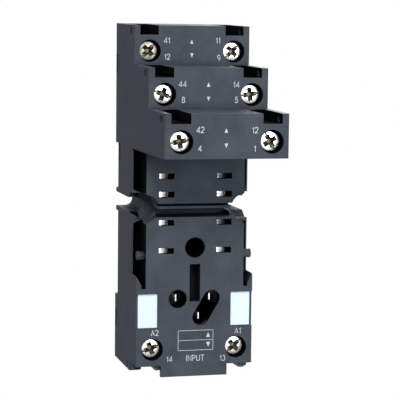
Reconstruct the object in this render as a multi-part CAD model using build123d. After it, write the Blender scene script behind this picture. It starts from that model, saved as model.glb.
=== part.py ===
from build123d import *
import math
import os

# Rail-mounted screw socket for an eight-blade two-changeover plug-in relay.
# Frame: Z up, front faces minus Y, Y zero is the plane where the rail touches,
# Z zero is the centre line of the rail, X zero is the middle of the width.
# All sizes are in millimetres.

# Overall body
width = 27.0
half = width / 2
bottom_z = -33.3
rear_y = 3.0
seat_y = -21.0
seat_plate = 2.0
shell = 1.5
side_shell = 1.2
floor_t3 = 0.7

# Rail channel for a 35 mm rail with a 1 mm flange
rail_width = 35.0
rail_flange = 1.0
channel_half = 18.0

# Stepped terminal tiers, from the top tier to the one beside the relay
tier_front_y = (-16.2, -31.4, -47.0)
tier_low_top = 27.2
tier_pitch = 9.1
tier_top_front = [tier_low_top + count * tier_pitch for count in (2, 1, 0)]
tier_rise = (0.5, 0.35, 0.3)
tier_top_rear = [front + rise for front, rise in zip(tier_top_front, tier_rise)]
top_front_z = tier_top_front[0]
top_rear_z = tier_top_rear[0]
tier_body = 9.4
tier_under_z = tier_top_front[2] - tier_body
tier_screw_down = (5.7, 5.75, 5.85)
tier_screw_z = [top - down for top, down in zip(tier_top_front, tier_screw_down)]
tier_edge_radius = 0.6

# Lower deck
deck_edge_z = -31.1
deck_slope_y = -14.0
deck_slope_z = deck_edge_z - 0.5
tab_half = 7.7
tab_drop = 2.55
tab_thick = 1.1
lug_offset = 0.3
lug_width = 1.95
lug_slant = 0.65
lug_drop = 1.1
lug_front = 0.8
lug_back = 2.4
tab_z = deck_edge_z - tab_drop
low_screw_up = 3.8
low_screw_z = deck_edge_z + low_screw_up

# Terminals
screw_inset = 3.75
screw_x = half - screw_inset
screw_head_r = 2.2
screw_head_h = 1.5
cross_width = 1.0
cross_span = 3.0
cross_deep = 1.2
slot_width = 0.4
slot_deep = 0.5
screw_recess = 1.8
screw_hole_r = 2.5
shank_r = 1.47
neck_clear = 0.06
thread_clear = 0.05
shank_tip = 9.15
lip_start = 3.35
lip_end = 4.05
thread_pitch = 0.5
cage_travel = 2.7
cage_width = 5.2
cage_height = 4.0
cage_front = lip_end + cage_travel + 0.1
cage_front_wall = 1.3
cage_side_wall = 0.75
cage_back_wall = 1.0
wire_gap = 3.0
strip_t = 0.7
tip_clear = 0.05
bar_start = shank_tip + tip_clear
bar_half = 1.75
chamber_clear = 0.1
chamber_end = bar_start + strip_t + wire_gap + cage_back_wall + 0.2
block_wall = 1.0
block_end = chamber_end + block_wall
block_inner_x = screw_x - cage_width / 2 - chamber_clear - 1.15

# Wire entries
entry_x0 = screw_x - 2.0
entry_x1 = screw_x + 2.2
entry_depth = 2.1
entry_run = 13.4
wire_hole_half = 1.7
wire_hole_y0 = bar_start + strip_t + 0.05
wire_hole_y1 = bar_start + strip_t + wire_gap + 0.1

# Relay seat
row_z = (11.9, 7.8, 1.45, -4.9)
slot_width_in = 3.43
slot_outer_inset = 5.12
slot_x1 = half - slot_outer_inset
slot_x0 = slot_x1 - slot_width_in
slot_h = 1.3
plate_inset = 2.15
plate_half = half - plate_inset
plate_wall = 1.2
leg_slot_x1 = half - side_shell
leg_slot_bottom = -13.4
leg_slot_deep = 13.8
leg_slot_floor_y = seat_y + leg_slot_deep
wall_setback = 5.3
wall_front_y = seat_y + wall_setback
wall_step_z = -10.1
lip_wall = 0.3
lip_taper = 2.4
pin_z = -5.95
pin_r = 1.0
pin_inset = 1.4
pin_y = seat_y + pin_inset
pin_length = 1.85
pin_x = plate_half + pin_length
locator_r = 2.25
bore_chamfer = 0.25
bore_wall = 1.0
lap = 1.0
locator_z = -4.3
locator_deep = 9.0
locator_end_y = seat_y + locator_deep + 1.0
key_half = 1.22
key_top_z = -8.0
key_bottom_z = -16.5
key_deep = 7.0
key_end_y = seat_y + key_deep - 1.0

# Waist between the two seat plates
waist_low = 2.7
waist_high = 5.75
waist_rim = 0.6
waist_wall = 1.2
ridge_low = 4.5
ridge_high = 5.1
ridge_y = seat_y + 1.0
waist_deep = 3.0
waist_floor_y = seat_y + waist_deep
band_deep = 7.0
band_floor_y = seat_y + band_deep
band_half = 8.6
waist_chamfer = 2.65
waist_chamfer_x = plate_half - waist_chamfer

# Panel screw notches in the sides
notch_x = plate_half
notch_z = 4.75
notch_r = 1.65
sink_r = 3.0
sink_end_y = -11.6
sink_start_y = -13.8
sleeve_wall = 0.8
boss_r = 2.7
boss_start_y = -5.5
boss_end_y = 2.3

# Module contact holes
mod_left = (-3.87, -15.92)
mod_up = (3.95, -15.85)
mod_low = (1.44, -20.2)
mod_r = 2.05
mod_long_r = 1.9
mod_deep = 6.5
blade_half = 0.15
tail_inset = 1.0
mod_tube_y = seat_y + mod_deep - 1.0

# Marker plates
marker_rim = 0.45
marker_width = 4.6
marker_x1 = half - marker_rim
marker_x0 = marker_x1 - marker_width
marker_top = -14.6
marker_bottom = -22.4
marker_recess = 0.5
marker_t = 0.9
marker_clear = 0.05

# Side windows under the tier tops, snap windows and grip slits
side_window_y = 1.9
side_window_w = 1.6
side_window_h = 1.4
side_window_drop = 0.5
snap_z = (36.5, 15.9, -23.7)
snap_h = 4.1
snap_w = 1.7
snap_back = 2.1
snap_clear = 0.2
snap_reach = 0.8
grip_y = (-11.9, -15.7)
grip_top_z = (-31.7, -31.1)
grip_w = 0.9
grip_deep = 0.5
foot_front_y = -16.9

# Contact strips
fork_leaf = 0.53
fork_gap = 0.03
leaf_width = 1.9
fork_tip = 0.7
fork_length = 4.5
run_x0 = slot_x0 + 0.25
run_x1 = slot_x1 + 0.42
web_x1 = slot_x1 - 0.18
ear_reach = 1.25
ear_x = slot_x0 - ear_reach
ear_low = 5.2
ear_high = 8.0
sleeve_clear = 0.15
sleeve_inner_x = run_x1 + sleeve_clear
middle_level = tier_top_rear[2] - 1.6
top_step_z = tier_under_z + 4.2
coil_step_up = 12.6
coil_step_z = deck_edge_z + coil_step_up
post_clear = 0.05

# Rear cover and latch
cover_clear = 0.1
cover_half = half - side_shell - cover_clear
cover_t = 1.5
cover_top_z = top_rear_z - shell - 0.15
cover_bottom_z = bottom_z + shell + 0.15
hook_drop = 1.6
hook_y0 = 1.2
latch_half = 6.4
latch_neck_half = 5.2
latch_y0 = 0.6
latch_y1 = 2.2
latch_y2 = 2.9
latch_lip = 1.8
latch_top_z = -channel_half + latch_lip
latch_drop = 1.9
latch_bottom_z = bottom_z - latch_drop
latch_shoulder = -channel_half - 0.6
latch_travel = 3.0
latch_clear = 0.08
spring_mean_r = 0.8
spring_wire_r = 0.17
spring_turns = 4
spring_top_z = latch_shoulder - 3.8
spring_seat_rise = 2.05
spring_bottom_z = cover_bottom_z + spring_seat_rise


def box(x0, x1, y0, y1, z0, z1):
    lo_x, hi_x = sorted((x0, x1))
    lo_y, hi_y = sorted((y0, y1))
    lo_z, hi_z = sorted((z0, z1))
    centre = ((lo_x + hi_x) / 2, (lo_y + hi_y) / 2, (lo_z + hi_z) / 2)
    return Pos(*centre) * Box(hi_x - lo_x, hi_y - lo_y, hi_z - lo_z)


def rod_y(x, z, r, y0, y1):
    turned = Rot(90, 0, 0) * Cylinder(r, abs(y1 - y0))
    return Pos(x, (y0 + y1) / 2, z) * turned


def rod_x(y, z, r, x0, x1):
    turned = Rot(0, 90, 0) * Cylinder(r, abs(x1 - x0))
    return Pos((x0 + x1) / 2, y, z) * turned


def cone_y(x, z, r_front, r_back, y_front, y_back):
    # front is the end nearer minus Y
    cone = Rot(90, 0, 0) * Cone(r_back, r_front, y_back - y_front)
    return Pos(x, (y_front + y_back) / 2, z) * cone


def side_profile(points, half_width):
    line = Polyline(*[(0, p[0], p[1]) for p in points], close=True)
    return extrude(make_face(line), amount=half_width, dir=(1, 0, 0), both=True)


def front_profile(points, y0, y1):
    line = Polyline(*[(p[0], y0, p[1]) for p in points], close=True)
    return extrude(make_face(line), amount=y1 - y0, dir=(0, 1, 0))


def upright(points, z0, z1):
    # profile in width and depth, raised from z0 to z1
    line = Polyline(*[(p[0], p[1], z0) for p in points], close=True)
    return extrude(make_face(line), amount=z1 - z0, dir=(0, 0, 1))


def side_wedge(points, x0, x1):
    # profile in depth and height, pushed out sideways from x0 to x1
    line = Polyline(*[(x0, p[0], p[1]) for p in points], close=True)
    way = math.copysign(1, x1 - x0)
    return extrude(make_face(line), amount=abs(x1 - x0), dir=(way, 0, 0))


def open_slot(sign, r, y0, y1, x_out):
    # round at the inner end and open toward the outer side
    slot = rod_y(sign * notch_x, notch_z, r, y0, y1)
    slot += box(sign * notch_x, sign * x_out, y0, y1, notch_z - r, notch_z + r)
    return slot


def open_sink(sign, r_front, r_back, y_front, y_back, x_out):
    # tapered slot of the same form
    sink = cone_y(sign * notch_x, notch_z, r_front, r_back, y_front, y_back)
    pts = [(y_front, notch_z - r_front), (y_front, notch_z + r_front)]
    pts += [(y_back, notch_z + r_back), (y_back, notch_z - r_back)]
    sink += side_wedge(pts, sign * notch_x, sign * x_out)
    return sink


def notch_sleeve(sign):
    # wall around the panel screw slot, from the seat to the boss at the rear
    wall = sleeve_wall
    narrow = open_slot(sign, notch_r + wall, sink_end_y - 0.1, boss_start_y + 0.1, half)
    narrow &= box(sign * sleeve_inner_x, sign * half, seat_y, rear_y, notch_z - 6, notch_z + 6)
    sleeve = open_slot(sign, sink_r + wall, seat_y + 0.5, sink_start_y, half)
    sleeve += open_sink(sign, sink_r + wall, notch_r + wall, sink_start_y, sink_end_y, half)
    sleeve += narrow
    sleeve += open_slot(sign, boss_r, boss_start_y, boss_end_y, half)
    sleeve &= box(0, sign * half, seat_y, rear_y, notch_z - 6, notch_z + 6)
    sleeve -= box(sign * notch_x, sign * (half + 1), seat_y - 1, wall_front_y,
                  notch_z - 6, notch_z + 6)
    return sleeve


def terminals():
    # name, side sign, face plane, screw height, strip row
    # kind is the row of slots that the strip serves, counted from the top
    rows = []
    for sign, tag in ((-1, "left"), (1, "right")):
        rows.append(("top_" + tag, sign, tier_front_y[0], tier_screw_z[0], 2))
        rows.append(("middle_" + tag, sign, tier_front_y[1], tier_screw_z[1], 1))
        rows.append(("front_" + tag, sign, tier_front_y[2], tier_screw_z[2], 0))
        rows.append(("coil_" + tag, sign, seat_y, low_screw_z, 3))
    return rows


def snap_plane(z):
    # back face of the cover at this height
    return 0.0 if abs(z) < channel_half else rear_y


def outer_body():
    y1, y2, y3 = tier_front_y
    pts = [(rear_y, top_rear_z), (y1, top_front_z), (y1, tier_top_rear[1])]
    pts += [(y2, tier_top_front[1]), (y2, tier_top_rear[2])]
    pts += [(y3, tier_top_front[2]), (y3, tier_under_z), (seat_y, tier_under_z)]
    pts += [(seat_y, deck_slope_z), (deck_slope_y, bottom_z), (rear_y, bottom_z)]
    pts += [(rear_y, -channel_half), (0, -channel_half)]
    pts += [(0, channel_half), (rear_y, channel_half)]
    body = side_profile(pts, half)
    keep = []
    for e in body.edges().filter_by(Axis.Z):
        c = e.center()
        if abs(abs(c.X) - half) < 0.01 and any(abs(c.Y - y) < 0.01 for y in tier_front_y):
            keep.append(e)
    return fillet(keep, tier_edge_radius)


def hollow():
    y1, y2, y3 = [y + shell for y in tier_front_y]
    in_y = seat_y + seat_plate
    pts = [(rear_y + 1, top_rear_z - shell), (y1, top_front_z - shell)]
    pts += [(y1, tier_top_rear[1] - shell), (y2, tier_top_front[1] - shell)]
    pts += [(y2, tier_top_rear[2] - shell), (y3, tier_top_front[2] - shell)]
    pts += [(y3, tier_under_z + floor_t3), (in_y, tier_under_z + floor_t3)]
    pts += [(in_y, deck_edge_z + shell), (deck_slope_y + 0.5, bottom_z + shell)]
    pts += [(rear_y + 1, bottom_z + shell)]
    room = side_profile(pts, half - side_shell)
    for s in (-1, 1):
        inner = plate_half - plate_wall
        room -= box(s * inner, s * half, seat_y, leg_slot_floor_y + 1.2,
                    leg_slot_bottom - 1.2, tier_under_z + floor_t3 - 0.1)
    return room


def terminal_block(sign, face_y, z, kind):
    # guide walls for one clamp cage, its screw lip and the head tube
    up = 1 if kind != 3 else -1
    z_open = z - up * (cage_height / 2 + 0.6)
    if kind == 2:
        z_far = tier_top_front[0] - 0.5
    elif kind == 1:
        z_far = tier_top_front[1] - 0.5
    elif kind == 0:
        z_far = tier_top_front[2] - 0.5
        z_open = tier_under_z + 0.2
    else:
        z_far = deck_edge_z + 0.4
    return box(sign * block_inner_x, sign * (half - 0.5), face_y + 0.5,
               face_y + block_end, z_open, z_far)


def terminal_cuts(sign, face_y, z, kind):
    up = 1 if kind != 3 else -1
    half_room = cage_width / 2 + chamber_clear
    x0 = sign * (screw_x - half_room)
    x1 = sign * (screw_x + half_room)
    z_top = z + up * (cage_height / 2 + chamber_clear)
    z_open = z - up * (cage_height / 2 + 0.8)
    if kind == 0:
        z_open = tier_under_z + floor_t3
    cuts = box(x0, x1, face_y + lip_end, face_y + chamber_end, z_open, z_top)
    cuts += rod_y(sign * screw_x, z, screw_hole_r, face_y - 1, face_y + lip_start)
    cuts += rod_y(sign * screw_x, z, shank_r + neck_clear, face_y, face_y + lip_end + 0.1)
    hole_end = z_top + up * 4.0
    cuts += box(sign * (screw_x - wire_hole_half), sign * (screw_x + wire_hole_half),
                face_y + wire_hole_y0, face_y + wire_hole_y1, z_top - up * 0.1, hole_end)
    if kind == 3:
        cuts += box(sign * entry_x0, sign * entry_x1, face_y - 1, face_y + entry_run,
                    deck_edge_z, bottom_z - 1)
    else:
        tier = 2 - kind
        cuts += box(sign * entry_x0, sign * entry_x1, face_y - 1, face_y + entry_run,
                    tier_top_front[tier] - entry_depth, tier_top_front[tier] + 1.0)
    if kind == 0:
        run_half = bar_half + 0.1
        cuts += box(sign * (screw_x - run_half), sign * (screw_x + run_half),
                    face_y + chamber_end - 0.1, face_y + block_end + 0.1,
                    tier_under_z + floor_t3, tier_under_z + floor_t3 + strip_t + 0.12)
    return cuts


def lug_places():
    return (lug_offset - screw_x, screw_x + lug_offset)


def front_housing():
    body = outer_body() - hollow()
    in_y = seat_y + seat_plate
    for name, sign, face_y, z, kind in terminals():
        body += terminal_block(sign, face_y, z, kind)
    # ceiling walls behind the waist groove and the blind features of the seat
    body += box(-plate_half, plate_half, waist_floor_y - 1, band_floor_y + waist_wall,
                waist_low - waist_rim, waist_high + waist_wall)
    body += rod_y(0, locator_z, locator_r + bore_wall, in_y - lap, locator_end_y)
    body += box(-key_half - bore_wall, key_half + bore_wall, in_y - lap, key_end_y,
                key_bottom_z - bore_wall, key_top_z)
    body += rod_y(mod_left[0], mod_left[1], mod_r + bore_wall, in_y - lap, mod_tube_y)
    for name, sign, face_y, z, kind in terminals():
        body -= terminal_cuts(sign, face_y, z, kind)
    # front face of the deck ends higher than the side walls, which start farther back
    for s in (-1, 1):
        body -= box(s * tab_half, s * (half + 1), seat_y - 1, seat_y + 1.5,
                    deck_edge_z, bottom_z - 1)
        body -= box(s * (half - side_shell - 0.1), s * (half + 1), seat_y - 1, foot_front_y,
                    deck_edge_z, bottom_z - 1)
    # centre tab under the deck
    body += box(-tab_half, tab_half, seat_y, seat_y + tab_thick, tab_z, deck_edge_z + 1)
    # wire guides under the deck, the same hand on both sides
    for x in lug_places():
        foot = deck_edge_z - lug_drop
        lug = [(x, deck_edge_z + 0.1), (x + lug_slant, foot)]
        lug += [(x + lug_width, foot), (x + lug_width, deck_edge_z + 0.1)]
        body += front_profile(lug, seat_y + lug_front, seat_y + lug_back)
    # blade slots
    for z in row_z:
        for s in (-1, 1):
            body -= box(s * slot_x0, s * slot_x1, seat_y - 1, in_y + 0.5,
                        z - slot_h / 2, z + slot_h / 2)
    # slots for the legs of a retaining clip, and the low wall beside them
    for s in (-1, 1):
        body -= box(s * plate_half, s * leg_slot_x1, seat_y - 1, leg_slot_floor_y,
                    leg_slot_bottom, tier_under_z)
        body -= box(s * plate_half, s * (half + 1), seat_y - 1, wall_front_y,
                    wall_step_z, tier_under_z)
        wedge_x = leg_slot_x1 - 0.4
        wedge = [(s * wedge_x, leg_slot_bottom), (s * wedge_x, wall_step_z + 0.1)]
        wedge += [(s * (half + 0.2), wall_step_z + 0.1), (s * (half + 0.2), wall_step_z)]
        body -= front_profile(wedge, seat_y - 1, wall_front_y)
        # rounded front corner of the low wall, and the thin lip of the wall behind it
        step = wall_step_z
        corner = [(seat_y - 1, step + 0.1), (seat_y + 1.8, step + 0.1)]
        corner += [(seat_y + 0.5, step - 0.35), (seat_y, step - 1.0), (seat_y - 1, step - 1.0)]
        body -= side_wedge(corner, s * plate_half, s * (half + 1))
        lip = [(s * (half - lip_wall), wall_front_y), (s * leg_slot_x1, wall_front_y)]
        lip += [(s * leg_slot_x1, wall_front_y + lip_taper)]
        body -= upright(lip, leg_slot_bottom, tier_under_z)
        body += rod_x(pin_y, pin_z, pin_r, s * (plate_half - 0.5), s * pin_x)
        body += notch_sleeve(s)
    # waist groove with a low ridge and chamfered plate corners
    groove = box(-half, half, seat_y - 1, waist_floor_y, waist_low, waist_high)
    groove -= box(-plate_half, plate_half, ridge_y, waist_floor_y, ridge_low, ridge_high)
    body -= groove
    body -= box(-band_half, band_half, seat_y - 1, band_floor_y, waist_low, ridge_low)
    for s in (-1, 1):
        upper = [(s * waist_chamfer_x, waist_high - 0.1), (s * (plate_half + 0.1), waist_high + 2.3)]
        upper += [(s * (plate_half + 0.1), waist_high - 0.1)]
        body -= front_profile(upper, seat_y - 1, waist_floor_y)
        lower = [(s * waist_chamfer_x, waist_low + 0.1), (s * (plate_half + 0.1), waist_low - 1.6)]
        lower += [(s * (plate_half + 0.1), waist_low + 0.1)]
        body -= front_profile(lower, seat_y - 1, waist_floor_y)
    # panel screw notches, with room for a countersunk head
    for s in (-1, 1):
        body -= open_slot(s, sink_r, seat_y - 1, sink_start_y, half + 1)
        body -= open_sink(s, sink_r, notch_r, sink_start_y, sink_end_y, half + 1)
        body -= open_slot(s, notch_r, sink_end_y - 0.1, rear_y + 1, half + 1)
    # locating bore, key slot and module holes
    body -= rod_y(0, locator_z, locator_r, seat_y - 1, locator_end_y - 1.0)
    for x, z, r in ((0, locator_z, locator_r), (mod_left[0], mod_left[1], mod_r)):
        body -= cone_y(x, z, r + 2 * bore_chamfer, r, seat_y - bore_chamfer, seat_y + bore_chamfer)
    body -= box(-key_half, key_half, seat_y - 1, key_end_y - 1.0, key_bottom_z, key_top_z)
    body -= rod_y(mod_left[0], mod_left[1], mod_r, seat_y - 1, mod_tube_y + 1)
    for x, z in (mod_up, mod_low):
        body -= rod_y(x, z, mod_long_r, seat_y - 1, in_y + 1)
    dx = mod_up[0] - mod_low[0]
    dz = mod_up[1] - mod_low[1]
    length = math.hypot(dx, dz)
    tilt = math.degrees(math.atan2(dz, dx))
    web = Rot(0, -tilt, 0) * Box(length, 6, 2 * mod_long_r)
    body -= Pos((mod_up[0] + mod_low[0]) / 2, seat_y, (mod_up[1] + mod_low[1]) / 2) * web
    # marker plate pockets, open at the outer side over the first half millimetre
    for s in (-1, 1):
        body -= box(s * marker_x0, s * (half + 1), seat_y - 1, seat_y + marker_recess,
                    marker_bottom, marker_top)
        body -= box(s * marker_x0, s * marker_x1, seat_y - 1,
                    seat_y + marker_recess + marker_t, marker_bottom, marker_top)
    # side windows under each tier top, snap windows near the rear, small slits low down
    for s in (-1, 1):
        for face_y, z_top in zip(tier_front_y, tier_top_front):
            y0 = face_y + side_window_y
            z1 = z_top - side_window_drop
            body -= box(s * (half - 2), s * (half + 1), y0, y0 + side_window_w,
                        z1 - side_window_h, z1)
        for z in snap_z:
            y0 = snap_plane(z) - snap_back
            body -= box(s * (cover_half - 0.7), s * (half + 1), y0, y0 + snap_w,
                        z - snap_h / 2, z + snap_h / 2)
        for y, z_top in zip(grip_y, grip_top_z):
            body -= box(s * (half - grip_deep), s * (half + 1), y, y + grip_w,
                        bottom_z - 1, z_top)
    # latch passage in the bottom wall
    body -= box(-latch_half - 0.4, latch_half + 0.4, latch_y0 - 0.3, rear_y + 1,
                bottom_z - 1, bottom_z + 3)
    return body


def rear_cover():
    z_top = cover_top_z
    ch = channel_half
    deep = cover_t
    pts = [(rear_y, z_top), (rear_y - deep, z_top), (rear_y - deep, ch + deep)]
    pts += [(-deep, ch + deep), (-deep, -ch - deep), (rear_y - deep, -ch - deep)]
    pts += [(rear_y - deep, cover_bottom_z), (rear_y, cover_bottom_z)]
    pts += [(rear_y, -ch), (0, -ch), (0, ch), (rear_y, ch)]
    body = side_profile(pts, cover_half)
    # two fixed hooks over the upper rail flange
    for s in (-1, 1):
        hook = [(hook_y0, ch + 0.5), (hook_y0, ch - hook_drop), (hook_y0 + 0.5, ch - hook_drop)]
        hook += [(rear_y, ch - hook_drop + 1.0), (rear_y, ch + 0.5)]
        body += Pos(s * 7.0, 0, 0) * side_profile(hook, 2.5)
    # deep bed and side guides for the latch
    bed = latch_half + latch_clear
    body += box(-bed - 1.2, bed + 1.2, -1.0, rear_y, cover_bottom_z, -ch)
    body -= box(-bed, bed, latch_y0 - latch_clear, latch_y1 + latch_clear,
                cover_bottom_z - 1, -ch + 1)
    neck = latch_neck_half + latch_clear
    body -= box(-neck, neck, latch_y0 - latch_clear, rear_y + 1, cover_bottom_z - 1, -ch + 1)
    # stop post that carries the foot of the spring
    body += box(-1.0, 1.0, 0, 2.6, spring_bottom_z - 1.3, spring_bottom_z - 0.02)
    # posts behind the contact strips
    for s in (-1, 1):
        back_top = tier_front_y[0] + bar_start + strip_t + post_clear
        back_mid = coil_plane() + strip_t + post_clear
        bar0 = screw_x - bar_half + 0.4
        body += box(s * bar0, s * (bar0 + 2.8), back_top, rear_y - deep + 0.5,
                    top_step_z, top_step_z + 2.2)
        body += box(s * (run_x0 + 0.4), s * (run_x1 - 0.4), back_top, -deep + 0.5,
                    row_z[1] + 1.2, row_z[1] + 3.2)
        body += box(s * ear_x, s * (run_x0 - 0.4), back_mid, -deep + 0.5,
                    row_z[1] + ear_low + 0.2, row_z[1] + ear_high - 0.2)
        body += box(s * (run_x0 + 0.4), s * (run_x1 - 0.4), back_mid, -deep + 0.5,
                    row_z[3] - 7.5, row_z[3] - 5.5)
    # snap catches
    for s in (-1, 1):
        for z in snap_z:
            y1 = snap_plane(z) - snap_back + snap_w - 0.1
            tall = snap_h / 2 - snap_clear
            body += box(s * (cover_half - 0.5), s * (cover_half + snap_reach),
                        y1 - 0.9, y1, z - tall, z + tall)
    # room for the panel screw sleeves
    for s in (-1, 1):
        body -= open_slot(s, boss_r + cover_clear, -6, rear_y + 1, half + 1)
    return body


def coil_plane():
    return seat_y + bar_start


def strip_fork(sign, z, y_back):
    # two leaves and the web that joins them, set toward the left of the slot
    if sign > 0:
        x0 = slot_x0 + 0.05
    else:
        x0 = 0.05 - slot_x1
    x1 = x0 + leaf_width
    web0, web1 = sorted((sign * run_x0, sign * web_x1))
    leaf = fork_leaf
    gap = fork_gap
    y_tip = seat_y + fork_tip
    y_web = y_tip + fork_length
    fork = box(x0, x1, y_tip, y_web, z + gap, z + gap + leaf)
    fork += box(x0, x1, y_tip, y_web, z - gap - leaf, z - gap)
    fork += box(min(x0, web0), max(x1, web1), y_web - 0.01, y_web + strip_t,
                z - gap - leaf, z + gap + leaf)
    if y_back > y_web + strip_t:
        fork += box(web0, web1, y_web, y_back, z - strip_t / 2, z + strip_t / 2)
    return fork


def contact_strip(sign, face_y, z_screw, kind):
    z_row = row_z[kind]
    bar_y = face_y + bar_start
    bar0 = sign * (screw_x - bar_half)
    bar1 = sign * (screw_x + bar_half)
    run0 = sign * run_x0
    run1 = sign * run_x1
    web_y = seat_y + fork_tip + fork_length
    if kind == 0:
        floor = tier_under_z + floor_t3 + 0.02
        strip = strip_fork(sign, z_row, web_y)
        strip += box(run0, run1, web_y, web_y + strip_t, z_row - 0.5, floor + strip_t)
        strip += box(run0, bar1, web_y + strip_t, web_y - 4.0, floor, floor + strip_t)
        strip += box(bar0, bar1, web_y, bar_y, floor, floor + strip_t)
        strip += box(bar0, bar1, bar_y, bar_y + strip_t, floor, z_screw + 1.9)
    elif kind == 1:
        plane = coil_plane()
        level = middle_level
        strip = strip_fork(sign, z_row, plane + 0.1)
        strip += box(run0, run1, plane, plane + strip_t, z_row - 0.35, level + strip_t)
        strip += box(sign * ear_x, run0 + sign * 0.2, plane, plane + strip_t,
                     z_row + ear_low, z_row + ear_high)
        strip += box(run0, bar1, plane + strip_t, plane - 5.0, level, level + strip_t)
        strip += box(bar0, bar1, plane - 4.0, bar_y, level, level + strip_t)
        strip += box(bar0, bar1, bar_y, bar_y + strip_t, level, z_screw + 1.9)
    elif kind == 2:
        strip = strip_fork(sign, z_row, bar_y + 0.1)
        step = top_step_z
        strip += box(run0, run1, bar_y, bar_y + strip_t, z_row - 0.35, step + 4.0)
        strip += box(run0, bar1, bar_y, bar_y + strip_t, step, step + 4.0)
        strip += box(bar0, bar1, bar_y, bar_y + strip_t, step, z_screw + 1.9)
    else:
        strip = strip_fork(sign, z_row, bar_y + 0.1)
        step = coil_step_z
        strip += box(run0, run1, bar_y, bar_y + strip_t, z_row + 0.35, step)
        strip += box(run0, bar1, bar_y, bar_y + strip_t, step + 3.0, step)
        strip += box(bar0, bar1, bar_y, bar_y + strip_t, step + 3.0, z_screw - 1.9)
    return strip


def clamp_cage(sign, face_y, z):
    y0 = face_y + cage_front
    bar_back = face_y + bar_start + strip_t
    y1 = bar_back + wire_gap + cage_back_wall
    w = cage_width / 2
    x = sign * screw_x
    cage = box(x - w, x + w, y0, y1, z - cage_height / 2, z + cage_height / 2)
    inner = w - cage_side_wall
    cage -= box(x - inner, x + inner, y0 + cage_front_wall, y1 - cage_back_wall,
                z - cage_height, z + cage_height)
    cage -= rod_y(x, z, shank_r + thread_clear, y0 - 1, y0 + cage_front_wall + 0.1)
    return cage


def terminal_screw(sign, face_y, z, turn):
    x = sign * screw_x
    head_y = face_y + screw_recess
    tip = shank_tip - screw_recess
    outline = [(0, 0), (screw_head_r, 0), (screw_head_r, screw_head_h)]
    outline += [(shank_r, screw_head_h), (shank_r, tip), (0, tip)]
    screw = revolve(make_face(Polyline(*outline, close=True)), axis=Axis.Y)
    # cross recess, and the straight slot along one of its arms
    screw -= Box(cross_span, 2 * cross_deep, cross_width)
    screw -= Box(cross_width, 2 * cross_deep, cross_span)
    screw -= Box(2 * screw_head_r + 1, 2 * slot_deep, slot_width)
    return Pos(x, head_y, z) * (Rot(0, -turn, 0) * screw)


def module_contact(x, z, x_tail):
    w = blade_half
    leaf = box(x - w, x + w, seat_y + 2.3, coil_plane() - 0.1, z - 0.75, z + 0.75)
    y1 = coil_plane() - 0.05
    tail = box(min(x - w, x_tail), max(x + w, x_tail), y1 - 0.5, y1, z - 0.6, z + 0.6)
    return leaf + tail


def marker_plate(sign):
    c = marker_clear
    y0 = seat_y + marker_recess
    plate = box(sign * (marker_x0 + c), sign * (marker_x1 - c), y0, y0 + marker_t,
                marker_bottom + c, marker_top - c)
    return plate


def rail_latch():
    body = box(-latch_half, latch_half, latch_y0, latch_y1, latch_bottom_z + 2.6, latch_shoulder)
    body += box(-latch_neck_half, latch_neck_half, latch_y0, latch_y2,
                latch_bottom_z, latch_shoulder)
    root = latch_shoulder - 0.1
    lip = [(hook_y0, root), (hook_y0, latch_top_z), (hook_y0 + 0.4, latch_top_z)]
    lip += [(latch_y2, latch_top_z - 1.2), (latch_y2, root)]
    body += side_profile(lip, latch_neck_half)
    body -= box(-1.15, 1.15, latch_y0 - 1, latch_y2 + 1, spring_bottom_z - 1.6, spring_top_z)
    body -= box(-2.6, 2.6, latch_y0 - 1, latch_y2 + 1, latch_bottom_z + 0.9, latch_bottom_z + 2.2)
    return body


def latch_spring():
    pitch = (spring_top_z - spring_bottom_z - 2 * spring_wire_r - 0.04) / spring_turns
    height = pitch * spring_turns
    path = Helix(pitch=pitch, height=height, radius=spring_mean_r)
    start = path @ 0
    heading = path % 0
    profile = Plane(origin=start, z_dir=heading) * RegularPolygon(spring_wire_r, 4)
    coil = sweep(profile, path=path)
    y = (latch_y0 + latch_y2) / 2
    return Pos(0, y, spring_bottom_z + spring_wire_r + 0.02) * coil


# slot angles seen from the front, in degrees, anticlockwise from horizontal
slot_turn = {
    "top_left": 45, "middle_left": -20, "front_left": 10, "coil_left": 20,
    "top_right": 45, "middle_right": 8, "front_right": -60, "coil_right": 42,
}

os.makedirs("parts", exist_ok=True)
export_step(front_housing(), "parts/front_housing.step")
export_step(rear_cover(), "parts/rear_cover.step")
export_step(rail_latch(), "parts/rail_latch.step")
export_step(latch_spring(), "parts/latch_spring.step")
for name, sign, face_y, z, kind in terminals():
    export_step(contact_strip(sign, face_y, z, kind), "parts/contact_strip_" + name + ".step")
    export_step(clamp_cage(sign, face_y, z), "parts/clamp_cage_" + name + ".step")
    export_step(terminal_screw(sign, face_y, z, slot_turn[name]),
                "parts/terminal_screw_" + name + ".step")
tail_x = run_x1 - 0.2
low_tail_x = screw_x - bar_half + tail_inset
export_step(module_contact(mod_left[0], mod_left[1], -tail_x), "parts/module_contact_left.step")
export_step(module_contact(mod_up[0], mod_up[1], tail_x), "parts/module_contact_right.step")
export_step(module_contact(mod_low[0], mod_low[1], -low_tail_x),
            "parts/module_contact_lower.step")
export_step(marker_plate(-1), "parts/marker_plate_left.step")
export_step(marker_plate(1), "parts/marker_plate_right.step")
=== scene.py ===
import math

import bmesh
import bpy
from mathutils import Matrix, Vector


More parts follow.
